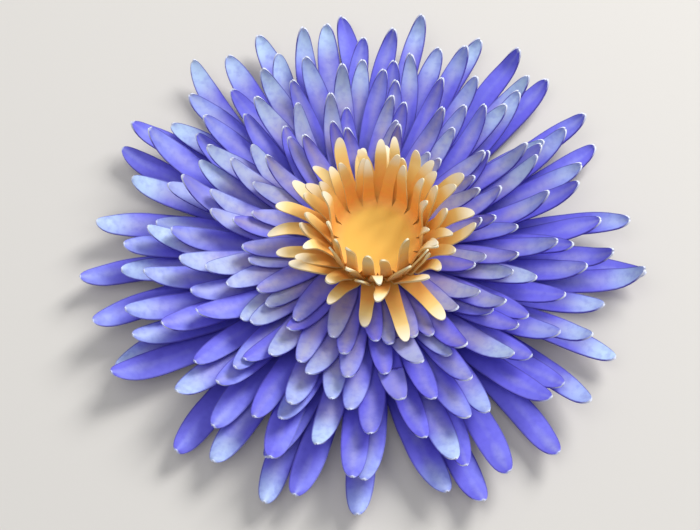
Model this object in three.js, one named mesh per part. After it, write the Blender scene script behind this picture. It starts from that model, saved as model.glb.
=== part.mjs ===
// A cut-paper aster. Rosettes of long blue petals, each cut from one sheet, are glued in a stack that gets
// smaller towards the top, two of a size. Small rosettes of narrow yellow florets make the cup in the middle.
// Millimetres, +Z up out of the flower's face, -Y towards the viewer, origin in the middle of the flat back.

import * as THREE from 'three';
import { mergeVertices } from 'three/addons/utils/BufferGeometryUtils.js';

// Paper and glue
const paperThickness = 0.24;
const glueThickness = 0.28;
const glueDabRadius = 3.6;
const glueDabSides = 6;
const sheetClearance = 0.06;

// Petal rosettes, from the back of the flower upwards
const petalSizeCount = 6;
const layersPerSize = 2;
const petalsPerLayer = 16;
const petalHubRadius = 5.2;
const lowestPetalReach = 38;
const highestPetalReach = 17.5;
const upperLayerShorter = 0.6;
const petalReachScatter = 2.2;
const lowestPetalWidth = 4.1;
const highestPetalWidth = 3.3;
const petalWidthScatter = 0.12;
const petalNarrowing = 0.22;
const petalTipLength = 5.5;
const petalSlope = 0.06;
const petalBendLength = 4;
const petalSpread = 1.35;
const petalTipCurl = 1.5;
const petalExtraCurl = 1.8;
const petalEdgeCurl = 0.6;
const petalSway = 6;
const petalLiftShare = 0.4;
const petalCupShare = 0.3;
const petalRollShare = 0.3;
const petalStagger = 7.4;
const petalTurnScatter = 3;
const curlSide = 60;

// Floret rosettes, from the outermost to the innermost
const floretLayerCount = 4;
const floretsPerLayer = 16;
const outerFloretHubRadius = 6.2;
const innerFloretHubRadius = 5;
const floretLength = 9.8;
const floretLengthScatter = 2;
const outerFloretWidth = 2.3;
const innerFloretWidth = 1.9;
const floretTipLength = 1.5;
const floretBendRadius = 1;
const outerFloretAngle = 47;
const innerFloretAngle = 84;
const floretLean = 6;
const floretRecurve = 8;
const outerCupTilt = 13;
const innerCupTilt = 7;
const cupTiltDirection = -45;
const outerFloretSway = 8;
const innerFloretSway = 3;
const floretTurn = -9;
const floretStagger = 14.2;
const centreToTheRight = 1.7;
const centreTowardsViewer = 0.3;

// The few outer florets that have fallen forward onto the petals
const fallenDirection = -77;
const fallenSpan = 34;
const fallenAngle = 24;

// Where a strip of paper has its rows of points, and how many points lie across it. A place from 0 to 1 is
// between the hub and the strip's shoulder, and one from 1 to 2 is on its rounded end.
const petalRows = [[0, 2], [0.45, 3], [1, 3], [1.62, 3], [1.95, 2]];
const floretRows = [[0, 2], [0.15, 2], [0.56, 2], [1, 2], [1.9, 2]];

const layerPitch = paperThickness + glueThickness;
const petalLayerCount = petalSizeCount * layersPerSize;
const petalSizeStep = (lowestPetalReach - highestPetalReach) / (petalSizeCount - 1);
const longestPetal = lowestPetalReach - petalHubRadius;
const { degToRad, lerp } = THREE.MathUtils;

const bluePaper = (share) => new THREE.MeshStandardMaterial({
  color: new THREE.Color(0x5a52c8).lerp(new THREE.Color(0x8a7fb8), share),
  roughness: 0.85,
  metalness: 0,
});
const yellowPaper = new THREE.MeshStandardMaterial({ color: 0xe6a83c, roughness: 0.85, metalness: 0 });
const driedGlue = new THREE.MeshStandardMaterial({ color: 0xe8e4d4, roughness: 0.5, metalness: 0 });

// A number from 0 to 1 that looks random and is the same in every build
function scatter(layer, petal, trait) {
  const wave = Math.sin(layer * 12.9898 + petal * 78.233 + trait * 37.719) * 43758.5453;
  return wave - Math.floor(wave);
}

// Distance from the hub of a place on a strip
const distanceAt = (place, length, tipLength) =>
  place < 1 ? place * (length - tipLength) : length - tipLength * (2 - place);

// Half the width of a strip: it widens or narrows from the hub to its shoulder and ends in half an ellipse
function halfWidth(place, atHub, atShoulder) {
  if (place < 1) return lerp(atHub, atShoulder, Math.sin((place * Math.PI) / 2));
  return atShoulder * Math.sqrt(1 - (place - 1) ** 2);
}

// A point at a radius, a direction, a sideways distance and a height
function polarPoint(radius, direction, sideways, height) {
  const c = Math.cos(direction);
  const s = Math.sin(direction);
  return new THREE.Vector3(radius * c - sideways * s, radius * s + sideways * c, height);
}

// The two faces of a formed sheet at one place, half the paper's thickness either side of its middle surface
function faces(middle, place, across) {
  const step = 1e-4;
  const point = middle(place, across);
  const outward = middle(place + step, across).sub(middle(Math.max(place - step, 0), across));
  const sideways = middle(place, across + step).sub(middle(place, across - step));
  const normal = place === 0 ? new THREE.Vector3(0, 0, 1) : outward.cross(sideways).normalize();
  normal.multiplyScalar(paperThickness / 2);
  return { across, top: point.clone().add(normal), bottom: point.clone().sub(normal) };
}

// Adds one strip of paper, with both faces, both cut sides and the cut end. It stays open at the hub.
function addStrip(corners, rows, middle) {
  const lines = rows.map(([place, count]) =>
    Array.from({ length: count }, (_, i) => faces(middle, place, (2 * i) / (count - 1) - 1)));
  const side = (a, b) => corners.push(a.bottom, b.bottom, b.top, a.bottom, b.top, a.top);
  for (let row = 1; row < lines.length; row++) {
    const near = lines[row - 1];
    const far = lines[row];
    let a = 0;
    let b = 0;
    while (a < near.length - 1 || b < far.length - 1) {
      const nextNear = a < near.length - 1 ? near[a + 1].across : Infinity;
      const nextFar = b < far.length - 1 ? far[b + 1].across : Infinity;
      const third = nextNear < nextFar ? near[a + 1] : far[b + 1];
      corners.push(near[a].top, far[b].top, third.top, near[a].bottom, third.bottom, far[b].bottom);
      if (nextNear < nextFar) a += 1;
      else b += 1;
    }
    side(near[0], far[0]);
    side(far[far.length - 1], near[near.length - 1]);
  }
  const tip = lines[lines.length - 1];
  side(tip[0], tip[tip.length - 1]);
}

// One cut and formed sheet: a flat hub with a ring of strips that meet at the hub's corners
function rosetteGeometry(count, hubRadius, rows, middleOf) {
  const corners = [];
  const corner = (petal, height) =>
    polarPoint(hubRadius, ((petal - 0.5) * 2 * Math.PI) / count, 0, height);
  for (let petal = 0; petal < count; petal++) {
    corners.push(new THREE.Vector3(0, 0, paperThickness));
    corners.push(corner(petal, paperThickness), corner(petal + 1, paperThickness));
    corners.push(new THREE.Vector3(0, 0, 0), corner(petal + 1, 0), corner(petal, 0));
    addStrip(corners, rows, middleOf(petal));
  }
  const geometry = mergeVertices(new THREE.BufferGeometry().setFromPoints(corners), 1e-4);
  geometry.computeVertexNormals();
  return geometry;
}

// The hub is a polygon, so a strip starts at the middle of one of its sides
const hubSide = (hubRadius, count) => ({
  start: hubRadius * Math.cos(Math.PI / count),
  half: hubRadius * Math.sin(Math.PI / count),
});

// The size that a petal layer is cut to, and its place among the layers of that size
const sizeOf = (layer) => Math.floor(layer / layersPerSize);
const placeOf = (layer) => layer % layersPerSize;
const onTopOfItsSize = (layer) => placeOf(layer) === layersPerSize - 1;
const reachOf = (layer) =>
  lowestPetalReach - sizeOf(layer) * petalSizeStep - placeOf(layer) * upperLayerShorter;

// How much further apart the petal layers are than their hubs, and the room that the paper leaves free
const extraRoom = (distance) => petalSpread * (distance / longestPetal) ** 2;
const freeRoom = (distance) => layerPitch + extraRoom(distance) - paperThickness - sheetClearance;

// The middle surface of one petal. It stays in its layer's own room, and the tip past the next size curls up.
function petalSurface(layer, petal, turn) {
  const hub = hubSide(petalHubRadius, petalsPerLayer);
  const direction = (petal * 2 * Math.PI) / petalsPerLayer;
  const reach = reachOf(layer) - petalReachScatter * scatter(layer, petal, 1);
  const length = reach - hub.start;
  const sway = degToRad(petalSway) * (2 * scatter(layer, petal, 2) - 1);
  const lift = petalLiftShare * scatter(layer, petal, 3);
  const roll = petalRollShare * (2 * scatter(layer, petal, 5) - 1);
  const curlSideShare = 0.5 + 0.5 * Math.cos(direction + turn - degToRad(curlSide));
  const extraCurl = onTopOfItsSize(layer) ? petalExtraCurl * scatter(layer, petal, 4) ** 2 : 0;
  const edgeCurl = onTopOfItsSize(layer) ? petalEdgeCurl * curlSideShare : 0;
  const curlStart = reachOf((sizeOf(layer) + 1) * layersPerSize);
  const cutWidth = lerp(lowestPetalWidth, highestPetalWidth, sizeOf(layer) / (petalSizeCount - 1));
  const narrowed = (1 - petalNarrowing * curlSideShare) * (1 - petalWidthScatter * scatter(layer, petal, 9));
  return (place, across) => {
    const distance = distanceAt(place, length, petalTipLength);
    const along = distance / length;
    const slope = (petalSlope * distance ** 2) / (distance + petalBendLength);
    const cup = petalCupShare * lerp(1 - across ** 2, across ** 2, curlSideShare);
    const rolled = (Math.abs(roll) + roll * across) / 2;
    const room = freeRoom(distance) * along * (lift + cup + rolled);
    const curled = Math.max(0, hub.start + distance - curlStart) / petalSizeStep;
    const curl = (petalTipCurl + extraCurl + edgeCurl * across ** 2) * curled ** 2;
    const height = paperThickness / 2 + slope + layer * extraRoom(distance) + room + curl;
    const half = halfWidth(place, hub.half, (cutWidth * narrowed) / 2);
    return polarPoint(hub.start + distance, direction + sway * along ** 2, across * half, height);
  };
}

// The middle surface of one floret: it turns up out of the hub on an arc and then leans out again a little
function floretSurface(layer, floret, turn) {
  const inward = layer / (floretLayerCount - 1);
  const hub = hubSide(lerp(outerFloretHubRadius, innerFloretHubRadius, inward), floretsPerLayer);
  const direction = (floret * 2 * Math.PI) / floretsPerLayer;
  const fromFallen = Math.cos(direction + turn - degToRad(fallenDirection));
  const fallen = layer === 0 && fromFallen > Math.cos(degToRad(fallenSpan));
  const length = floretLength - floretLengthScatter * scatter(layer, floret, 6);
  const width = lerp(outerFloretWidth, innerFloretWidth, inward);
  const lean = floretLean * (2 * scatter(layer, floret, 7) - 1);
  const tiltSide = Math.cos(direction + turn - degToRad(cupTiltDirection));
  const tilt = lerp(outerCupTilt, innerCupTilt, inward) * tiltSide;
  const upright = lerp(outerFloretAngle, innerFloretAngle, inward) + tilt + lean;
  const angle = degToRad(fallen ? fallenAngle : upright);
  const sway = degToRad(lerp(outerFloretSway, innerFloretSway, inward)) * (2 * scatter(layer, floret, 8) - 1);
  const arc = floretBendRadius * angle;
  return (place, across) => {
    const distance = distanceAt(place, length, floretTipLength);
    const turned = Math.min(distance / floretBendRadius, angle);
    const beyond = Math.max(0, distance - arc);
    const chord = angle - (degToRad(floretRecurve) * beyond) / (length - arc) / 2;
    const radius = hub.start + floretBendRadius * Math.sin(turned) + beyond * Math.cos(chord);
    const height = floretBendRadius * (1 - Math.cos(turned)) + beyond * Math.sin(chord);
    const half = halfWidth(place, hub.half, width / 2);
    const heading = direction + sway * (distance / length) ** 2;
    return polarPoint(radius, heading, across * half, paperThickness / 2 + height);
  };
}

function petalRosette(layer) {
  const halfWay = (placeOf(layer) * 2 * Math.PI) / (petalsPerLayer * layersPerSize);
  const jitter = petalTurnScatter * (2 * scatter(layer, 0, 10) - 1);
  const turn = degToRad(petalStagger * sizeOf(layer) + jitter) + halfWay;
  const middleOf = (petal) => petalSurface(layer, petal, turn);
  const geometry = rosetteGeometry(petalsPerLayer, petalHubRadius, petalRows, middleOf);
  const rosette = new THREE.Mesh(geometry, bluePaper(layer / (petalLayerCount - 1)));
  rosette.name = `blue_rosette_${String(layer + 1).padStart(2, '0')}`;
  rosette.rotation.z = turn;
  rosette.position.z = layer * layerPitch;
  return rosette;
}

function floretRosette(layer) {
  const turn = degToRad(floretTurn + floretStagger * layer);
  const hubRadius = lerp(outerFloretHubRadius, innerFloretHubRadius, layer / (floretLayerCount - 1));
  const middleOf = (floret) => floretSurface(layer, floret, turn);
  const geometry = rosetteGeometry(floretsPerLayer, hubRadius, floretRows, middleOf);
  const rosette = new THREE.Mesh(geometry, yellowPaper);
  rosette.name = `yellow_rosette_${layer + 1}`;
  rosette.rotation.z = turn;
  rosette.position.set(centreToTheRight, -centreTowardsViewer, (petalLayerCount + layer) * layerPitch);
  return rosette;
}

// A dab of dried glue fills the space between the hubs of one rosette and the next
function glueDab(below) {
  const dab = new THREE.Mesh(
    new THREE.CylinderGeometry(glueDabRadius, glueDabRadius, glueThickness, glueDabSides),
    driedGlue,
  );
  dab.name = `glue_dab_${String(below + 1).padStart(2, '0')}`;
  dab.rotation.x = Math.PI / 2;
  dab.position.z = below * layerPitch + paperThickness + glueThickness / 2;
  return dab;
}

const flower = new THREE.Group();
const range = (count) => Array.from({ length: count }, (_, i) => i);
flower.add(...range(petalLayerCount).map(petalRosette));
flower.add(...range(floretLayerCount).map(floretRosette));
flower.add(...range(petalLayerCount + floretLayerCount - 1).map(glueDab));

export default flower;
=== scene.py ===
"""A cut-paper aster: rosettes of inked blue card in a stack, with a cup of yellow florets in the middle.

Every length is in metres. Each rosette is one cut sheet. Its petals or florets follow the forming rules of the
solid that it stands for, on a finer grid of points. Floret tips also curl over, and a few petals have a crease.
"""

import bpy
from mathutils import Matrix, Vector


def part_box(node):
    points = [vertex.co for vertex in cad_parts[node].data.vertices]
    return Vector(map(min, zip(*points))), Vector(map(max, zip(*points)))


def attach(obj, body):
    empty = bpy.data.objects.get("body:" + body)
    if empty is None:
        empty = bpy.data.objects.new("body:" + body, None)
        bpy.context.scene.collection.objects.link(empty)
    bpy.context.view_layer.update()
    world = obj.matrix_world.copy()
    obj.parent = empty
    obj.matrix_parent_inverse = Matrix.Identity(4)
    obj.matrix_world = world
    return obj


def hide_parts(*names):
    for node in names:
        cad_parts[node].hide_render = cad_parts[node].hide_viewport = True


bl_info = {
    "name": "Cut-paper aster",
    "version": (1, 0, 0),
    "blender": (4, 5, 0),
    "location": "3D View > Sidebar > Aster",
    "description": "Makes the inked card rosettes, the glue and the stage of a layered paper flower",
    "category": "Object",
}

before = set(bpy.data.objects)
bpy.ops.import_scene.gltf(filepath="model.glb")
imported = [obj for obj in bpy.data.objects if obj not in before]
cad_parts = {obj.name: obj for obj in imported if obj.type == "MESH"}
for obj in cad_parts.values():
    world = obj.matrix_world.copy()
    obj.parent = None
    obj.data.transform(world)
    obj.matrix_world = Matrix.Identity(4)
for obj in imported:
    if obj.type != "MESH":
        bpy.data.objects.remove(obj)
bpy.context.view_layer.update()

import math

import bmesh
import bpy
from bmesh.types import BMFace
from bpy.props import FloatProperty, FloatVectorProperty, IntProperty, PointerProperty
from bpy.types import Operator, Panel, PropertyGroup
from mathutils import Matrix, Vector

MM = 0.001

# Sockets of a Mix node that mixes colours
MIX_A = 6
MIX_B = 7
MIX_RESULT = 2

# What varies from strip to strip, each with its own number for scatter
(PETAL_REACH, PETAL_SWAY, PETAL_LIFT, PETAL_CURL, PETAL_ROLL, FLORET_REACH, FLORET_LEAN, FLORET_SWAY,
 STRIP_WIDTH, LAYER_TURN, INK_TONE, CREASED_TIP, FLORET_RECURVE, FLORET_HOOK) = range(1, 15)

# Places of the florets of the outermost rosette that have fallen towards the viewer
FALLEN_FLORETS = (12, 13, 14)
# The share of the hook by which a tip may curl inwards instead
MOST_INWARD_HOOK = -0.5

# The grid of a strip: the share of its rows before the shoulder, and how far the others go round the end
TIP_SHARE = 0.4
TIP_TURN = math.radians(88)
GRID_HALF = 0.5
# Rings of faces inside the rim of a hub, and the length there that counts as a whole strip for the ink
HUB_RINGS = 2
HUB_RING = 0.7 * MM
HUB_RUN = 10 * MM
MERGE_DISTANCE = 0.01 * MM

# Sizes of the marks that the ink, the card and the glue show
INK_PATCH = 5 * MM
PETAL_SPONGE = 0.9 * MM
FLORET_SPONGE = 1.1 * MM
BACK_SPONGE = 1.5 * MM
CARD_FIBRE = 0.25 * MM
FIBRE_HEIGHT = 0.03 * MM
GLUE_LUMP = 1.0 * MM
GLUE_LUMP_HEIGHT = 0.1 * MM
# The crack of a crease along a petal: how far the sponge marks push it about, and half its width
CREASE_WOBBLE = 0.06
CREASE_CRACK = 0.007


def linear(code):
    """Turns an sRGB hex colour such as #8a7fb8 into a linear colour."""
    channels = [int(code[i:i + 2], 16) / 255 for i in (1, 3, 5)]
    return tuple(c / 12.92 if c <= 0.04045 else ((c + 0.055) / 1.055) ** 2.4 for c in channels)


def length(name, description, millimetres):
    """A size that a user can change, shown in the scene's units."""
    return FloatProperty(
        name=name, description=description, default=millimetres * MM, unit="LENGTH", precision=5)


def angle(name, description, degrees):
    """An angle that a user can change, shown in degrees."""
    return FloatProperty(name=name, description=description, default=math.radians(degrees), subtype="ANGLE")


def share(name, description, default):
    """A plain number that a user can change."""
    return FloatProperty(name=name, description=description, default=default)


def colour(name, description, code):
    """A colour that a user can change, written as sRGB hex."""
    return FloatVectorProperty(
        name=name, description=description, default=linear(code), subtype="COLOR", size=3, min=0, max=1)


class PaperSizes(PropertyGroup):
    """The card and the glue."""

    thickness: length("Card thickness", "Thickness of the inked card", 0.24)
    glue: length("Glue thickness", "Height of the glue between two hubs", 0.28)
    clearance: length("Clearance", "Least air between two sheets", 0.06)


class PetalSizes(PropertyGroup):
    """The blue rosettes, from the back of the flower upwards."""

    sizes: IntProperty(name="Sizes", description="How many sizes of rosette are cut", default=6)
    layers_per_size: IntProperty(
        name="Layers per size", description="How many rosettes have one size", default=2)
    count: IntProperty(name="Petals", description="Petals on one rosette", default=16)
    hub_radius: length("Hub radius", "Radius of the uncut middle", 5.2)
    lowest_reach: length("Lowest reach", "Reach of the largest rosette", 38)
    highest_reach: length("Highest reach", "Reach of the smallest rosette", 17.5)
    upper_shorter: length("Upper shorter", "How much shorter the upper rosette of a size is", 0.6)
    reach_scatter: length("Reach scatter", "How much the reach varies", 2.2)
    lowest_width: length("Lowest width", "Widest part of the largest petals", 4.1)
    highest_width: length("Highest width", "Widest part of the smallest petals", 3.3)
    width_scatter: share("Width scatter", "Share by which the width varies", 0.12)
    narrowing: share("Narrowing", "Share of the width that curling takes up on the curled side", 0.22)
    tip_length: length("Tip length", "Length of the rounded end", 6.5)
    bluntness: share("Bluntness", "How blunt the rounded end is, where 2 is an ellipse", 2.2)
    slope: share("Slope", "Rise of a petal for its length", 0.06)
    bend_length: length("Bend length", "How softly a petal leaves the hub", 4)
    spread: length("Spread", "How far two layers part at the longest petal's tip", 1.35)
    tip_curl: length("Tip curl", "Rise of the curled tip", 1.5)
    extra_curl: length("Extra curl", "Further rise of some tips on the upper layer of a size", 1.8)
    edge_curl: length("Edge curl", "Rise of the edges of those tips on the curled side", 0.6)
    sway: angle("Sway", "How far a petal bends to the side", 6)
    creased: share("Creased", "Share of the upper petals whose tip has been creased", 0.07)
    crease_place: share("Crease place", "Where the crease lies, from 1 at the shoulder to 2 at the tip", 1.12)
    crease_rise: share("Crease rise", "Extra slope of the paper past the crease", 0.22)
    lift: share("Lift", "Share of the free room that lifts a petal", 0.4)
    cup: share("Cup", "Share of the free room that curves a petal across", 0.3)
    roll: share("Roll", "Share of the free room that tips a petal to one side", 0.3)
    stagger: angle("Stagger", "Turn from one size to the next", 7.4)
    turn_scatter: angle("Turn scatter", "How far a rosette is turned off its even place", 3)
    curl_side: angle("Curl side", "Direction in which the petals curl up most", 60)
    columns: IntProperty(name="Columns", description="Faces across one petal", default=4)
    rows: IntProperty(name="Rows", description="Faces along one petal", default=15)


class FloretSizes(PropertyGroup):
    """The yellow rosettes, from the outermost to the innermost."""

    layers: IntProperty(name="Layers", description="How many rosettes make the cup", default=4)
    count: IntProperty(name="Florets", description="Florets on one rosette", default=16)
    outer_hub: length("Outer hub radius", "Radius of the uncut middle of the outermost rosette", 6.2)
    inner_hub: length("Inner hub radius", "Radius of the uncut middle of the innermost rosette", 5)
    reach: length("Length", "Length of the longest florets", 9.8)
    reach_scatter: length("Length scatter", "How much the length varies", 2.6)
    outer_width: length("Outer width", "Width of an outermost floret", 1.95)
    inner_width: length("Inner width", "Width of an innermost floret", 1.5)
    width_scatter: share("Width scatter", "Share by which the width varies", 0.2)
    tip_length: length("Tip length", "Length of the rounded end", 2.6)
    bluntness: share("Bluntness", "How blunt the rounded end is, where 2 is an ellipse", 2.2)
    bend_radius: length("Bend radius", "Radius of the fold at the hub", 1)
    outer_angle: angle("Outer angle", "How steep the outermost florets stand", 47)
    inner_angle: angle("Inner angle", "How steep the innermost florets stand", 84)
    lean: angle("Lean", "How much the steepness varies", 10)
    recurve: angle("Recurve", "How far a floret leans out again towards its tip", 3)
    recurve_scatter: angle("Recurve scatter", "How much more some florets lean out", 20)
    hook: length("Hook", "How far the tip of a floret may curl over", 1.1)
    hook_length: length("Hook length", "Length of the tip that curls over", 2.4)
    outer_tilt: angle("Outer tilt", "How far the outermost rosette leans as a whole", 13)
    inner_tilt: angle("Inner tilt", "How far the innermost rosette leans as a whole", 7)
    tilt_direction: angle("Tilt direction", "Side on which the florets stand steepest", -45)
    outer_sway: angle("Outer sway", "How far an outermost floret bends to the side", 11)
    inner_sway: angle("Inner sway", "How far an innermost floret bends to the side", 7)
    turn: angle("Turn", "Turn of the outermost rosette", -9)
    stagger: angle("Stagger", "Turn from one rosette to the next", 14.2)
    to_the_right: length("To the right", "Place of the cup across the flower", 1.7)
    towards_viewer: length("Towards the viewer", "Place of the cup towards the viewer", 0.3)
    fallen_angle: angle("Fallen angle", "How steep the fallen florets lie", 24)
    columns: IntProperty(name="Columns", description="Faces across one floret", default=4)
    rows: IntProperty(name="Rows", description="Faces along one floret", default=15)


class PaperColours(PropertyGroup):
    """Inks, bare card and glue, and the painted sheen of some petals."""

    violet: colour("Violet ink", "Ink towards the edges of the petals", "#6d63e6")
    # The deep ink also paints the shade at the roots of the petals
    deep: colour("Deep ink", "Ink where two coats overlap", "#4c41cc")
    mauve: colour("Mauve ink", "Greyed middle of the smaller petals", "#a492bc")
    lavender: colour("Lavender ink", "Greyed middle of the larger petals", "#aaaae4")
    # Painted sheen, not ink: a pale cyan highlight painted on the outer half of some petals
    painted_sheen: colour("Pale wash", "Thin ink on the outer half of some petals", "#c6e2fc")
    sheen: colour("Sheen", "Cool gloss of the ink film", "#d6f2ff")
    edge: colour("Edge ink", "Ink that was wiped along the cut edges", "#4b3cab")
    back: colour("Petal back", "Thin ink on the underside of the petals", "#b3acd8")
    core: colour("Blue card core", "Cut edge of the blue card", "#dfe4f6")
    gold: colour("Gold ink", "Ink on the floor of the cup and low on the florets", "#f3c85a")
    # The orange is partly painted shade of the cup's hollow, where the florets fold up
    orange: colour("Orange ink", "Ink in the folds of the florets", "#f5a858")
    straw: colour("Straw ink", "Thinner ink on the upper half of the florets", "#fedf9b")
    cream: colour("Cream tip", "Bare card at the tips of the florets", "#fdf4dc")
    ochre: colour("Floret back", "Ink on the underside of the florets", "#e9cd8c")
    yellow_core: colour("Yellow card core", "Cut edge of the yellow card", "#f3e6bd")
    glue: colour("Glue", "Dried craft glue", "#e8e4d4")
    floor: colour("Floor", "Plain pale floor", "#d8d4cd")


def scatter(layer, petal, trait):
    """A number from 0 to 1 that looks random and is the same in every run."""
    wave = math.sin(layer * 12.9898 + petal * 78.233 + trait * 37.719) * 43758.5453
    return wave - math.floor(wave)


def lerp(a, b, t):
    """The value that lies the share t of the way from a to b."""
    return a + (b - a) * t


def distance_at(place, own_length, tip_length):
    """Distance from the hub of a place on a strip: 0 to 1 up to its shoulder, 1 to 2 on its rounded end."""
    if place < 1:
        return place * (own_length - tip_length)
    return own_length - tip_length * (2 - place)


def half_width(place, at_hub, at_shoulder, bluntness):
    """Half the width of a strip, which ends in half an ellipse or a blunter curve."""
    if place < 1:
        return lerp(at_hub, at_shoulder, math.sin(place * math.pi / 2))
    return at_shoulder * (1 - (place - 1) ** bluntness) ** (1 / bluntness)


def polar_point(radius, direction, sideways, height):
    """A point given by its distance out along a direction, its distance to the left of it, and its height."""
    c, s = math.cos(direction), math.sin(direction)
    return Vector((radius * c - sideways * s, radius * s + sideways * c, height))


def hub_side(radius, count):
    """Distance of a hub's straight side from the middle, and half that side's length."""
    return radius * math.cos(math.pi / count), radius * math.sin(math.pi / count)


def petal_size_step(petals):
    """How much shorter each size of rosette is than the one below it."""
    return (petals.lowest_reach - petals.highest_reach) / (petals.sizes - 1)


def petal_reach(petals, layer):
    """Reach of a layer's longest petals."""
    size, place = divmod(layer, petals.layers_per_size)
    return petals.lowest_reach - size * petal_size_step(petals) - place * petals.upper_shorter


def petal_turn(petals, layer):
    """Turn of a layer about the flower's axis."""
    size, place = divmod(layer, petals.layers_per_size)
    half_way = place * 2 * math.pi / (petals.count * petals.layers_per_size)
    jitter = petals.turn_scatter * (2 * scatter(layer, 0, LAYER_TURN) - 1)
    return petals.stagger * size + jitter + half_way


def is_creased(petals, layer, petal):
    """Whether a petal on the upper layer of its size has a creased tip."""
    upper = layer % petals.layers_per_size == petals.layers_per_size - 1
    return upper and scatter(layer, petal, CREASED_TIP) < petals.creased


def petal_surface(paper, petals, layer, petal):
    """The middle surface of one petal as a function of the place along it and across it."""
    start, half_base = hub_side(petals.hub_radius, petals.count)
    turn = petal_turn(petals, layer)
    direction = petal * 2 * math.pi / petals.count
    reach = petal_reach(petals, layer) - petals.reach_scatter * scatter(layer, petal, PETAL_REACH)
    own_length = reach - start
    longest = petals.lowest_reach - petals.hub_radius
    sway = petals.sway * (2 * scatter(layer, petal, PETAL_SWAY) - 1)
    lift = petals.lift * scatter(layer, petal, PETAL_LIFT)
    side_share = 0.5 + 0.5 * math.cos(direction + turn - petals.curl_side)
    size, place = divmod(layer, petals.layers_per_size)
    on_top = place == petals.layers_per_size - 1
    extra_curl = petals.extra_curl * scatter(layer, petal, PETAL_CURL) ** 2 if on_top else 0
    edge_curl = petals.edge_curl * side_share if on_top else 0
    roll = petals.roll * (2 * scatter(layer, petal, PETAL_ROLL) - 1)
    creased = is_creased(petals, layer, petal)
    crease = distance_at(petals.crease_place, own_length, petals.tip_length)
    curl_start = petal_reach(petals, (size + 1) * petals.layers_per_size)
    size_step = petal_size_step(petals)
    cut_width = lerp(petals.lowest_width, petals.highest_width, size / (petals.sizes - 1))
    own_width = cut_width * (1 - petals.width_scatter * scatter(layer, petal, STRIP_WIDTH))
    shoulder = own_width * (1 - petals.narrowing * side_share) / 2

    def middle(place, across):
        distance = distance_at(place, own_length, petals.tip_length)
        along = distance / own_length
        slope = petals.slope * distance ** 2 / (distance + petals.bend_length)
        extra = petals.spread * (distance / longest) ** 2
        free = paper.glue + extra - paper.clearance
        cup = petals.cup * lerp(1 - across ** 2, across ** 2, side_share)
        room = free * along * (lift + cup + (abs(roll) + roll * across) / 2)
        curled = max(0, start + distance - curl_start) / size_step
        curl = (petals.tip_curl + extra_curl + edge_curl * across ** 2) * curled ** 2
        folded = petals.crease_rise * max(0, distance - crease) if creased else 0
        height = paper.thickness / 2 + slope + layer * extra + room + curl + folded
        half = half_width(place, half_base, shoulder, petals.bluntness)
        return polar_point(start + distance, direction + sway * along ** 2, across * half, height)

    return middle


def floret_hub(florets, layer):
    """Radius of the hub of a layer of the cup."""
    return lerp(florets.outer_hub, florets.inner_hub, layer / (florets.layers - 1))


def floret_turn(florets, layer):
    """Turn of a layer of the cup about its axis."""
    return florets.turn + florets.stagger * layer


def floret_surface(paper, florets, layer, floret):
    """The middle surface of one floret, which folds up out of the hub and leans out again a little."""
    inward = layer / (florets.layers - 1)
    start, half_base = hub_side(floret_hub(florets, layer), florets.count)
    direction = floret * 2 * math.pi / florets.count
    facing = direction + floret_turn(florets, layer)
    fallen = layer == 0 and floret in FALLEN_FLORETS
    own_length = florets.reach - florets.reach_scatter * scatter(layer, floret, FLORET_REACH)
    cut_width = lerp(florets.outer_width, florets.inner_width, inward)
    width = cut_width * (1 - florets.width_scatter * scatter(layer, floret, STRIP_WIDTH))
    lean = florets.lean * (2 * scatter(layer, floret, FLORET_LEAN) - 1)
    tilt = lerp(florets.outer_tilt, florets.inner_tilt, inward) * math.cos(facing - florets.tilt_direction)
    upright = lerp(florets.outer_angle, florets.inner_angle, inward) + tilt + lean
    steep = florets.fallen_angle if fallen else upright
    own_sway = 2 * scatter(layer, floret, FLORET_SWAY) - 1
    sway = lerp(florets.outer_sway, florets.inner_sway, inward) * own_sway
    recurve = florets.recurve + florets.recurve_scatter * scatter(layer, floret, FLORET_RECURVE) ** 2
    arc = florets.bend_radius * steep
    free_hook = florets.hook * lerp(MOST_INWARD_HOOK, 1, scatter(layer, floret, FLORET_HOOK))
    hook = 0 if fallen else free_hook

    def middle(place, across):
        distance = distance_at(place, own_length, florets.tip_length)
        turned = min(distance / florets.bend_radius, steep)
        beyond = max(0, distance - arc)
        chord = steep - recurve * beyond / (own_length - arc) / 2
        radius = start + florets.bend_radius * math.sin(turned) + beyond * math.cos(chord)
        height = florets.bend_radius * (1 - math.cos(turned)) + beyond * math.sin(chord)
        hooked = hook * (max(0, distance - own_length + florets.hook_length) / florets.hook_length) ** 2
        radius += hooked * math.sin(chord)
        height -= hooked * math.cos(chord)
        half = half_width(place, half_base, width / 2, florets.bluntness)
        heading = direction + sway * (distance / own_length) ** 2
        return polar_point(radius, heading, across * half, paper.thickness / 2 + height)

    return middle


def strip_place(step):
    """Place of a row of points on a strip: even up to the shoulder, then even round the end."""
    if step < TIP_SHARE:
        return step / TIP_SHARE
    return 1 + math.sin(TIP_TURN * (step - TIP_SHARE) / (1 - TIP_SHARE))


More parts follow.
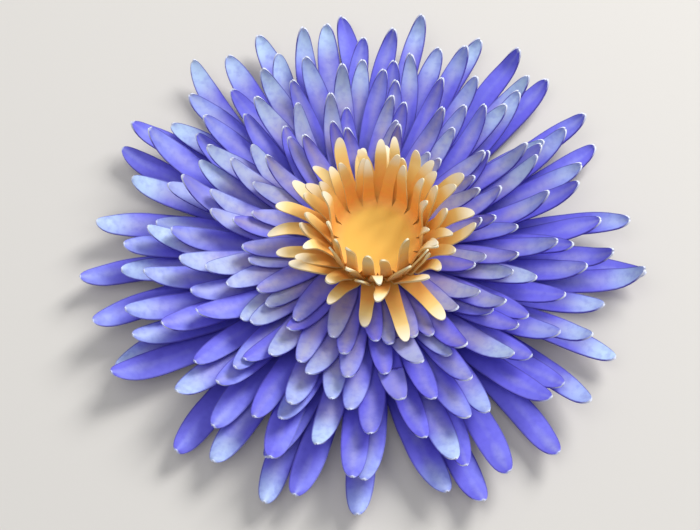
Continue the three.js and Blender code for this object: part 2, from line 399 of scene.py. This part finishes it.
def rosette_mesh(name, sizes, hub_radius, thickness, surface_of, layer, stack, creases=()):
    """One cut sheet: a flat hub and a ring of strips, each a flat grid that is bent to its own surface."""
    sheet = bmesh.new()
    along_layer = sheet.verts.layers.float.new("along")
    across_layer = sheet.verts.layers.float.new("across")
    tone_layer = sheet.verts.layers.float.new("tone")
    height_layer = sheet.verts.layers.float.new("stack")
    crease_layer = sheet.verts.layers.float.new("crease")
    half_step = Matrix.Rotation(math.pi / sizes.count, 4, "Z")
    raised = Matrix.Translation((0, 0, thickness / 2))
    hub = bmesh.ops.create_circle(
        sheet, cap_ends=True, segments=sizes.count, radius=hub_radius, matrix=raised @ half_step)
    rim = list({edge for vert in hub["verts"] for edge in vert.link_edges})
    bmesh.ops.subdivide_edges(sheet, edges=rim, cuts=sizes.columns - 1)
    for _ in range(HUB_RINGS):
        floor = max(sheet.faces, key=BMFace.calc_area)
        bmesh.ops.inset_region(sheet, faces=[floor], thickness=HUB_RING, use_boundary=True)
    for vert in sheet.verts:
        vert[along_layer] = (vert.co.xy.length - hub_radius) / HUB_RUN
    for strip_number in range(sizes.count):
        middle = surface_of(layer, strip_number)
        grid = bmesh.ops.create_grid(
            sheet, x_segments=sizes.columns, y_segments=sizes.rows, size=GRID_HALF)
        for vert in grid["verts"]:
            place = strip_place(vert.co.y + GRID_HALF)
            across = -vert.co.x / GRID_HALF
            vert.co = middle(place, across)
            vert[along_layer] = place / 2
            vert[across_layer] = across
            vert[tone_layer] = scatter(layer, strip_number, INK_TONE)
            vert[crease_layer] = strip_number in creases
    bmesh.ops.remove_doubles(sheet, verts=sheet.verts[:], dist=MERGE_DISTANCE)
    for vert in sheet.verts:
        vert[height_layer] = stack
    for face in sheet.faces:
        face.smooth = True
    for edge in sheet.edges:
        edge.smooth = not edge.is_boundary
    mesh = bpy.data.meshes.new(name)
    sheet.to_mesh(mesh)
    sheet.free()
    return mesh


def place_rosette(node, mesh, turn, offset, materials, thickness):
    """Turns a formed sheet to its place, gives it its thickness and lets it stand for its solid."""
    base = Vector((offset[0], offset[1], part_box(node)[0].z))
    mesh.transform(Matrix.Translation(base) @ Matrix.Rotation(turn, 4, "Z"))
    for material in materials:
        mesh.materials.append(material)
    piece = bpy.data.objects.new(node + "_card", mesh)
    bpy.context.scene.collection.objects.link(piece)
    card = piece.modifiers.new("Card thickness", "SOLIDIFY")
    card.thickness = thickness
    card.offset = 0
    card.material_offset = 1
    card.material_offset_rim = 2
    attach(piece, "root")
    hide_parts(node)


def add_node(tree, kind, inputs=None, **settings):
    """Adds a node, sets its properties, and fills or links its inputs."""
    made = tree.nodes.new(kind)
    for name, value in settings.items():
        setattr(made, name, value)
    for socket, value in (inputs or {}).items():
        if isinstance(value, bpy.types.NodeSocket):
            tree.links.new(value, made.inputs[socket])
        else:
            made.inputs[socket].default_value = value
    return made


def new_material(name):
    """An empty node material and its shader."""
    material = bpy.data.materials.new(name)
    material.use_nodes = True
    tree = material.node_tree
    return material, tree, tree.nodes["Principled BSDF"]


def rgba(value):
    """A colour with its alpha, as sockets take it."""
    return (*value, 1)


def inked_petal_card(colours, crease_place):
    """Smooth card with dye ink sponged on: greyed down the middle, violet towards the edges, satin."""
    material, tree, shader = new_material("dye_inked_blue_card")
    place = add_node(tree, "ShaderNodeTexCoord").outputs["Object"]
    along = add_node(tree, "ShaderNodeAttribute", attribute_name="along").outputs["Fac"]
    across = add_node(tree, "ShaderNodeAttribute", attribute_name="across").outputs["Fac"]
    tone = add_node(tree, "ShaderNodeAttribute", attribute_name="tone").outputs["Fac"]
    stack = add_node(tree, "ShaderNodeAttribute", attribute_name="stack").outputs["Fac"]
    patches = add_node(
        tree, "ShaderNodeTexNoise", {"Vector": place, "Scale": 1 / INK_PATCH, "Detail": 3}).outputs["Fac"]
    sponge = add_node(
        tree, "ShaderNodeTexNoise", {"Vector": place, "Scale": 1 / PETAL_SPONGE, "Detail": 4}).outputs["Fac"]
    # Violet gathers at the edges and towards the hub, where it is partly painted shade, in patches, and more on
    # some petals and lower layers
    off_middle = add_node(tree, "ShaderNodeMath", {0: across}, operation="ABSOLUTE").outputs[0]
    margin = add_node(tree, "ShaderNodeMapRange", {
        "Value": off_middle, "From Min": 0.1, "From Max": 1.0,
        "To Min": -0.25, "To Max": 0.5}).outputs["Result"]
    # More violet towards the hub: partly ink, partly painted shade where the petals leave the hub
    inward = add_node(tree, "ShaderNodeMapRange", {
        "Value": along, "From Min": 0.3, "From Max": 0.7, "To Min": 0.35, "To Max": 0.0}).outputs["Result"]
    wet = add_node(tree, "ShaderNodeMath", {0: margin, 1: inward}, operation="ADD").outputs[0]
    patchy = add_node(
        tree, "ShaderNodeMath", {0: patches, 1: 1.2, 2: wet}, operation="MULTIPLY_ADD").outputs[0]
    by_petal = add_node(
        tree, "ShaderNodeMath", {0: tone, 1: 0.9, 2: patchy}, operation="MULTIPLY_ADD").outputs[0]
    by_layer = add_node(
        tree, "ShaderNodeMath", {0: stack, 1: -0.36, 2: by_petal}, operation="MULTIPLY_ADD").outputs[0]
    violet_share = add_node(tree, "ShaderNodeMapRange", {
        "Value": by_layer, "From Min": 0.35, "From Max": 1.35}).outputs["Result"]
    pale = add_node(tree, "ShaderNodeMix", {
        0: stack, MIX_A: rgba(colours.lavender), MIX_B: rgba(colours.mauve)}, data_type="RGBA")
    inked = add_node(tree, "ShaderNodeMix", {
        0: violet_share, MIX_A: pale.outputs[MIX_RESULT], MIX_B: rgba(colours.violet)}, data_type="RGBA")
    # Painted sheen: a pale cyan highlight painted on the outer half of some petals, more on the lower layers
    outer = add_node(tree, "ShaderNodeMapRange", {
        "Value": along, "From Min": 0.55, "From Max": 0.9}, interpolation_type="SMOOTHSTEP").outputs["Result"]
    sheen_by_tone = add_node(tree, "ShaderNodeMapRange", {
        "Value": tone, "From Min": 0.2, "From Max": 0.8, "To Min": 0.8, "To Max": 0.05}).outputs["Result"]
    lower = add_node(tree, "ShaderNodeMapRange", {
        "Value": stack, "From Min": 0.3, "From Max": 1.0, "To Min": 1.0, "To Max": 0.35}).outputs["Result"]
    sheen_on_lower_layers = add_node(tree, "ShaderNodeMath", {0: sheen_by_tone, 1: lower}, operation="MULTIPLY").outputs[0]
    painted_sheen_share = add_node(tree, "ShaderNodeMath", {0: outer, 1: sheen_on_lower_layers}, operation="MULTIPLY").outputs[0]
    sheened = add_node(tree, "ShaderNodeMix", {
        0: painted_sheen_share, MIX_A: inked.outputs[MIX_RESULT], MIX_B: rgba(colours.painted_sheen)}, data_type="RGBA")
    # Sponge marks, painted shade at the root of each petal and a wiped outline
    mottle = add_node(tree, "ShaderNodeMapRange", {
        "Value": sponge, "From Min": 0.45, "From Max": 0.8, "To Max": 0.4}).outputs["Result"]
    mottled = add_node(tree, "ShaderNodeMix", {
        0: mottle, MIX_A: sheened.outputs[MIX_RESULT], MIX_B: rgba(colours.deep)}, data_type="RGBA")
    root_ink_and_shade = add_node(tree, "ShaderNodeMapRange", {
        "Value": along, "From Min": 0.15, "From Max": 0.55, "To Min": 0.6, "To Max": 0.0}).outputs["Result"]
    root_shaded = add_node(tree, "ShaderNodeMix", {
        0: root_ink_and_shade, MIX_A: mottled.outputs[MIX_RESULT], MIX_B: rgba(colours.deep)}, data_type="RGBA")
    wiped = add_node(tree, "ShaderNodeMapRange", {
        "Value": off_middle, "From Min": 0.87, "From Max": 0.97, "To Max": 0.85}).outputs["Result"]
    edged = add_node(tree, "ShaderNodeMix", {
        0: wiped, MIX_A: root_shaded.outputs[MIX_RESULT], MIX_B: rgba(colours.edge)}, data_type="RGBA")
    # A crack along the crease, worn ink past it, and a pale tip: bare card core with a painted highlight
    crease = add_node(tree, "ShaderNodeAttribute", attribute_name="crease").outputs["Fac"]
    crease_line = crease_place + CREASE_WOBBLE / 2
    uneven = add_node(
        tree, "ShaderNodeMath", {0: sponge, 1: CREASE_WOBBLE, 2: along}, operation="MULTIPLY_ADD").outputs[0]
    past = add_node(tree, "ShaderNodeMapRange", {
        "Value": uneven, "From Min": crease_line, "From Max": crease_place + CREASE_WOBBLE,
        "To Max": 0.35}).outputs["Result"]
    faded = add_node(tree, "ShaderNodeMath", {0: past, 1: crease}, operation="MULTIPLY").outputs[0]
    worn = add_node(tree, "ShaderNodeMix", {
        0: faded, MIX_A: edged.outputs[MIX_RESULT], MIX_B: rgba(colours.lavender)}, data_type="RGBA")
    on_crease = add_node(tree, "ShaderNodeMath", {
        0: uneven, 1: crease_line, 2: CREASE_CRACK}, operation="COMPARE").outputs[0]
    cracked = add_node(tree, "ShaderNodeMath", {0: on_crease, 1: crease}, operation="MULTIPLY").outputs[0]
    lined = add_node(tree, "ShaderNodeMix", {
        0: cracked, MIX_A: worn.outputs[MIX_RESULT], MIX_B: rgba(colours.edge)}, data_type="RGBA")
    # The pale rim of the tip is partly the bare card core and partly a painted highlight
    bare_core_and_highlight = add_node(tree, "ShaderNodeMapRange", {
        "Value": along, "From Min": 0.985, "From Max": 0.997, "To Max": 0.8}).outputs["Result"]
    tipped = add_node(tree, "ShaderNodeMix", {
        0: bare_core_and_highlight, MIX_A: lined.outputs[MIX_RESULT], MIX_B: rgba(colours.core)}, data_type="RGBA")
    tree.links.new(tipped.outputs[MIX_RESULT], shader.inputs["Base Color"])
    # Satin gloss of the ink film, and the fibres of the card
    satin = add_node(tree, "ShaderNodeMapRange", {"Value": sponge, "To Min": 0.46, "To Max": 0.62})
    tree.links.new(satin.outputs["Result"], shader.inputs["Roughness"])
    shader.inputs["Specular IOR Level"].default_value = 0.8
    shader.inputs["Specular Tint"].default_value = rgba(colours.sheen)
    fibre = add_node(
        tree, "ShaderNodeTexNoise", {"Vector": place, "Scale": 1 / CARD_FIBRE, "Detail": 3}).outputs["Fac"]
    bump = add_node(tree, "ShaderNodeBump", {
        "Height": fibre, "Strength": 0.25, "Distance": FIBRE_HEIGHT}).outputs["Normal"]
    tree.links.new(bump, shader.inputs["Normal"])
    return material


def card_back(name, tint, shade):
    """The thinly inked underside of the card, dry and matt, with the fibres showing."""
    material, tree, shader = new_material(name)
    place = add_node(tree, "ShaderNodeTexCoord").outputs["Object"]
    sponge = add_node(
        tree, "ShaderNodeTexNoise", {"Vector": place, "Scale": 1 / BACK_SPONGE, "Detail": 4}).outputs["Fac"]
    mottle = add_node(tree, "ShaderNodeMapRange", {
        "Value": sponge, "From Min": 0.4, "From Max": 0.75, "To Max": 0.6}).outputs["Result"]
    mixed = add_node(
        tree, "ShaderNodeMix", {0: mottle, MIX_A: rgba(tint), MIX_B: rgba(shade)}, data_type="RGBA")
    tree.links.new(mixed.outputs[MIX_RESULT], shader.inputs["Base Color"])
    shader.inputs["Roughness"].default_value = 0.7
    return material


def cut_edge(name, ink, core):
    """The sheared edge of the card: inked along the sides, pale core at the tip, which also stands for a
    painted highlight.
    """
    material, tree, shader = new_material(name)
    along = add_node(tree, "ShaderNodeAttribute", attribute_name="along").outputs["Fac"]
    # Pale at the tip: the bare card core, with a painted highlight there
    bare_core_and_highlight = add_node(tree, "ShaderNodeMapRange", {
        "Value": along, "From Min": 0.91, "From Max": 0.98}).outputs["Result"]
    mixed = add_node(
        tree, "ShaderNodeMix", {0: bare_core_and_highlight, MIX_A: rgba(ink), MIX_B: rgba(core)}, data_type="RGBA")
    tree.links.new(mixed.outputs[MIX_RESULT], shader.inputs["Base Color"])
    shader.inputs["Roughness"].default_value = 0.6
    return material


def inked_floret_card(colours):
    """Card inked gold, with orange in the fold at the hub, partly ink and partly painted shade, and nearly bare
    card at the tips.
    """
    material, tree, shader = new_material("dye_inked_yellow_card")
    place = add_node(tree, "ShaderNodeTexCoord").outputs["Object"]
    along = add_node(tree, "ShaderNodeAttribute", attribute_name="along").outputs["Fac"]
    tone = add_node(tree, "ShaderNodeAttribute", attribute_name="tone").outputs["Fac"]
    stack = add_node(tree, "ShaderNodeAttribute", attribute_name="stack").outputs["Fac"]
    sponge = add_node(
        tree, "ShaderNodeTexNoise", {"Vector": place, "Scale": 1 / FLORET_SPONGE, "Detail": 4}).outputs["Fac"]
    deeper = add_node(tree, "ShaderNodeMapRange", {
        "Value": stack, "To Min": 0.6, "To Max": 1.0}).outputs["Result"]
    # Orange towards the fold and further up on the inner rosettes: partly ink, partly painted shade in the
    # cup's hollow
    fold = add_node(
        tree, "ShaderNodeMapRange", {"Value": along, "From Min": -0.13, "From Max": 0.12},
        interpolation_type="SMOOTHSTEP").outputs["Result"]
    faded = add_node(tree, "ShaderNodeMapRange", {
        "Value": along, "From Min": 0.3, "From Max": deeper, "To Min": 1, "To Max": 0}).outputs["Result"]
    root_ink_and_shade = add_node(tree, "ShaderNodeMath", {0: fold, 1: faded}, operation="MULTIPLY").outputs[0]
    patchy = add_node(tree, "ShaderNodeMapRange", {
        "Value": sponge, "From Min": 0.3, "From Max": 0.7, "To Min": 0.55, "To Max": 0.95}).outputs["Result"]
    fold_ink_and_shade = add_node(tree, "ShaderNodeMath", {0: root_ink_and_shade, 1: patchy}, operation="MULTIPLY").outputs[0]
    inked = add_node(tree, "ShaderNodeMix", {
        0: fold_ink_and_shade, MIX_A: rgba(colours.gold), MIX_B: rgba(colours.orange)}, data_type="RGBA")
    risen = add_node(tree, "ShaderNodeMapRange", {
        "Value": along, "From Min": 0.3, "From Max": deeper, "To Max": 0.8}).outputs["Result"]
    thinned = add_node(tree, "ShaderNodeMix", {
        0: risen, MIX_A: inked.outputs[MIX_RESULT], MIX_B: rgba(colours.straw)}, data_type="RGBA")
    bare_from = add_node(tree, "ShaderNodeMapRange", {
        "Value": tone, "To Min": 0.85, "To Max": 0.45}).outputs["Result"]
    bare_share = add_node(tree, "ShaderNodeMapRange", {
        "Value": along, "From Min": bare_from, "From Max": 1.0, "To Max": 0.95}).outputs["Result"]
    tipped = add_node(tree, "ShaderNodeMix", {
        0: bare_share, MIX_A: thinned.outputs[MIX_RESULT], MIX_B: rgba(colours.cream)}, data_type="RGBA")
    tree.links.new(tipped.outputs[MIX_RESULT], shader.inputs["Base Color"])
    satin = add_node(tree, "ShaderNodeMapRange", {"Value": sponge, "To Min": 0.58, "To Max": 0.75})
    tree.links.new(satin.outputs["Result"], shader.inputs["Roughness"])
    fibre = add_node(
        tree, "ShaderNodeTexNoise", {"Vector": place, "Scale": 1 / CARD_FIBRE, "Detail": 3}).outputs["Fac"]
    bump = add_node(tree, "ShaderNodeBump", {
        "Height": fibre, "Strength": 0.25, "Distance": FIBRE_HEIGHT}).outputs["Normal"]
    tree.links.new(bump, shader.inputs["Normal"])
    return material


def dried_glue(colours):
    """White craft glue, dried cloudy with a soft gloss and a lumpy skin."""
    material, tree, shader = new_material("dried_craft_glue")
    place = add_node(tree, "ShaderNodeTexCoord").outputs["Object"]
    lumps = add_node(
        tree, "ShaderNodeTexNoise", {"Vector": place, "Scale": 1 / GLUE_LUMP, "Detail": 2}).outputs["Fac"]
    cloud = add_node(tree, "ShaderNodeMix", {
        0: lumps, MIX_A: rgba(colours.glue), MIX_B: rgba(colours.core)}, data_type="RGBA")
    tree.links.new(cloud.outputs[MIX_RESULT], shader.inputs["Base Color"])
    shader.inputs["Roughness"].default_value = 0.35
    bump = add_node(tree, "ShaderNodeBump", {
        "Height": lumps, "Strength": 0.4, "Distance": GLUE_LUMP_HEIGHT}).outputs["Normal"]
    tree.links.new(bump, shader.inputs["Normal"])
    return material


class ASTER_OT_petals(Operator):
    """Makes the blue rosettes"""

    bl_idname = "aster.petals"
    bl_label = "Blue rosettes"

    def execute(self, context):
        paper = context.scene.aster_paper
        petals = context.scene.aster_petals
        colours = context.scene.aster_colours
        materials = [
            inked_petal_card(colours, petals.crease_place / 2),
            card_back("blue_card_back", colours.back, colours.mauve),
            cut_edge("blue_card_edge", colours.edge, colours.core),
        ]
        layers = petals.sizes * petals.layers_per_size
        for layer in range(layers):
            node = f"blue_rosette_{layer + 1:02d}"
            mesh = rosette_mesh(
                node + "_card", petals, petals.hub_radius, paper.thickness,
                lambda level, petal: petal_surface(paper, petals, level, petal), layer, layer / (layers - 1),
                [petal for petal in range(petals.count) if is_creased(petals, layer, petal)])
            place_rosette(
                node, mesh, petal_turn(petals, layer), (0, 0), materials, paper.thickness)
        return {"FINISHED"}


class ASTER_OT_florets(Operator):
    """Makes the yellow rosettes of the cup"""

    bl_idname = "aster.florets"
    bl_label = "Yellow rosettes"

    def execute(self, context):
        paper = context.scene.aster_paper
        florets = context.scene.aster_florets
        colours = context.scene.aster_colours
        materials = [
            inked_floret_card(colours),
            card_back("yellow_card_back", colours.ochre, colours.gold),
            cut_edge("yellow_card_edge", colours.ochre, colours.yellow_core),
        ]
        for layer in range(florets.layers):
            node = f"yellow_rosette_{layer + 1}"
            mesh = rosette_mesh(
                node + "_card", florets, floret_hub(florets, layer), paper.thickness,
                lambda level, floret: floret_surface(paper, florets, level, floret), layer,
                layer / (florets.layers - 1))
            offset = (florets.to_the_right, -florets.towards_viewer)
            place_rosette(
                node, mesh, floret_turn(florets, layer), offset, materials, paper.thickness)
        return {"FINISHED"}


class ASTER_OT_glue(Operator):
    """Finishes the dabs of glue between the hubs"""

    bl_idname = "aster.glue"
    bl_label = "Glue dabs"

    def execute(self, context):
        material = dried_glue(context.scene.aster_colours)
        for name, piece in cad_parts.items():
            if name.startswith("glue_dab"):
                piece.data.materials.clear()
                piece.data.materials.append(material)
        return {"FINISHED"}


def plain_floor(colours):
    """Matt painted board, pale and even, so that only the flower's shadow shows on it."""
    material, _, shader = new_material("matt_painted_board")
    shader.inputs["Base Color"].default_value = rgba(colours.floor)
    shader.inputs["Roughness"].default_value = 0.8
    return material


def area_light(name, position, size, power):
    """A square lamp that faces the flower."""
    lamp = bpy.data.lights.new(name, "AREA")
    lamp.shape = "SQUARE"
    lamp.size = size
    lamp.energy = power
    holder = bpy.data.objects.new(name, lamp)
    holder.location = position
    holder.rotation_euler = (-Vector(position)).to_track_quat("-Z", "Y").to_euler()
    bpy.context.scene.collection.objects.link(holder)


class ASTER_OT_stage(Operator):
    """Makes the floor, the lights and the camera"""

    bl_idname = "aster.stage"
    bl_label = "Stage"

    elevation: angle("Camera elevation", "Height of the camera above the horizon", 65)
    distance: length("Camera distance", "Distance from the camera to the flower", 250)
    view_width: length("View width", "Width of the picture at the flower", 94.6)
    aim_right: length("Aim to the right", "Where the camera looks, across the flower", -1.9)
    aim_back: length("Aim to the back", "Where the camera looks, away from the viewer", -0.45)
    floor_size: length("Floor size", "Side of the floor", 4000)
    room_colour: FloatVectorProperty(
        name="Room colour", description="Light that comes from all sides", default=(0.9, 0.93, 1.0),
        subtype="COLOR", size=3, min=0, max=1)
    room_strength: share("Room strength", "Strength of the light that comes from all sides", 0.42)
    sensor_width: share("Sensor width", "Width of the camera's sensor in millimetres", 36)
    clip_start: length("Clip start", "Nearest distance that the camera shows", 10)

    def execute(self, context):
        scene = context.scene
        scene.view_settings.view_transform = "Standard"
        sheet = bmesh.new()
        bmesh.ops.create_grid(sheet, x_segments=1, y_segments=1, size=self.floor_size / 2)
        mesh = bpy.data.meshes.new("floor")
        sheet.to_mesh(mesh)
        sheet.free()
        mesh.materials.append(plain_floor(scene.aster_colours))
        floor = bpy.data.objects.new("floor", mesh)
        scene.collection.objects.link(floor)
        area_light("window", position=(0.30, 0.32, 0.38), size=0.26, power=3.1)
        area_light("overhead", position=(-0.15, -0.10, 0.6), size=0.5, power=0.9)
        world = bpy.data.worlds.new("soft_room")
        world.use_nodes = True
        room = world.node_tree.nodes["Background"]
        room.inputs["Color"].default_value = rgba(self.room_colour)
        room.inputs["Strength"].default_value = self.room_strength
        scene.world = world
        aim = Vector((self.aim_right, self.aim_back, 0))
        back = Vector((0, -math.cos(self.elevation), math.sin(self.elevation)))
        lens = bpy.data.cameras.new("camera")
        lens.sensor_width = self.sensor_width
        lens.lens = lens.sensor_width * self.distance / self.view_width
        lens.clip_start = self.clip_start
        camera = bpy.data.objects.new("camera", lens)
        camera.location = aim + back * self.distance
        camera.rotation_euler = (-back).to_track_quat("-Z", "Y").to_euler()
        scene.collection.objects.link(camera)
        scene.camera = camera
        return {"FINISHED"}


class ASTER_PT_panel(Panel):
    """Lists the pieces of the flower"""

    bl_label = "Cut-paper aster"
    bl_idname = "ASTER_PT_panel"
    bl_space_type = "VIEW_3D"
    bl_region_type = "UI"
    bl_category = "Aster"

    def draw(self, context):
        for operator in OPERATORS:
            self.layout.operator(operator.bl_idname)


OPERATORS = (ASTER_OT_petals, ASTER_OT_florets, ASTER_OT_glue, ASTER_OT_stage)
GROUPS = {
    "aster_paper": PaperSizes,
    "aster_petals": PetalSizes,
    "aster_florets": FloretSizes,
    "aster_colours": PaperColours,
}


def register():
    """Makes the classes and the scene's settings known to Blender."""
    for cls in (*GROUPS.values(), *OPERATORS, ASTER_PT_panel):
        bpy.utils.register_class(cls)
    for name, group in GROUPS.items():
        setattr(bpy.types.Scene, name, PointerProperty(type=group))


def unregister():
    """Takes the settings and the classes away again."""
    for name in GROUPS:
        delattr(bpy.types.Scene, name)
    for cls in reversed((*GROUPS.values(), *OPERATORS, ASTER_PT_panel)):
        bpy.utils.unregister_class(cls)


def main():
    """Builds the flower and its stage."""
    register()
    bpy.ops.aster.petals()
    bpy.ops.aster.florets()
    bpy.ops.aster.glue()
    bpy.ops.aster.stage()


if __name__ == "__main__":
    main()
